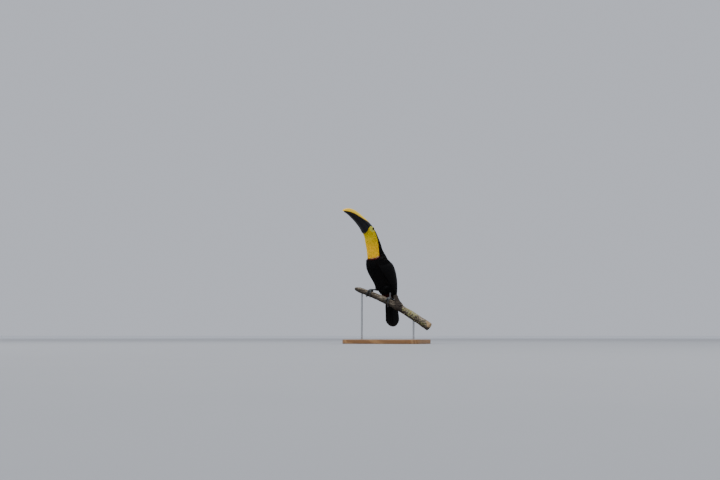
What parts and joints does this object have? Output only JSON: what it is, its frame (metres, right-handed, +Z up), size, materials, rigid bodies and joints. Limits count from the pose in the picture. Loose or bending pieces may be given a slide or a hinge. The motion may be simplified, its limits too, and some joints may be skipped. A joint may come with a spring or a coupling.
{
  "type": "choco toucan",
  "caption": "Life-size still model of a black and yellow toucan with its long bill raised, gripping a short cut length of branch on a plain rod stand.",
  "frame": {"origin": "middle of the underside of the stand's base", "axes": "+Z up; the branch runs along X and falls towards +X; the bird faces -Y, turned 20 degrees towards -X"},
  "size_m": [0.2923, 0.237, 0.4341],
  "materials": {
    "black_plumage": "soft glossy black feathers, faintly maroon on the nape",
    "yellow_plumage": "soft matt yellow feathers, deeper towards the breast",
    "tail_feathers": "smooth satin black vanes",
    "bill_horn": "satin horn, pale yellow ridge and tip over a black side",
    "bill_black": "satin black horn",
    "eye": "wet and dark",
    "leg_skin": "blue-grey scutes",
    "claw": "dark horn",
    "bark": "weathered bark with lichen, pale sawn end",
    "oak": "satin oiled oak",
    "rod_steel": "brushed"
  },
  "bodies": {
    "root": {"head": "yellow_plumage", "neck": "yellow_plumage", "trunk": "black_plumage", "wing_left": "black_plumage", "wing_right": "black_plumage", "tail": "tail_feathers", "thigh_left": "black_plumage", "thigh_right": "black_plumage", "foot_left": "leg_skin", "foot_right": "leg_skin", "bill_upper": "bill_horn", "bill_lower": "bill_black", "eye_left": "eye", "eye_right": "eye", "perch_branch": "bark", "stand_base": "oak", "stand_rod_left": "rod_steel", "stand_rod_right": "rod_steel", "claw_1_left": "claw", "claw_2_left": "claw", "claw_3_left": "claw", "claw_4_left": "claw", "claw_1_right": "claw", "claw_2_right": "claw", "claw_3_right": "claw", "claw_4_right": "claw"}
  },
  "joints": []
}
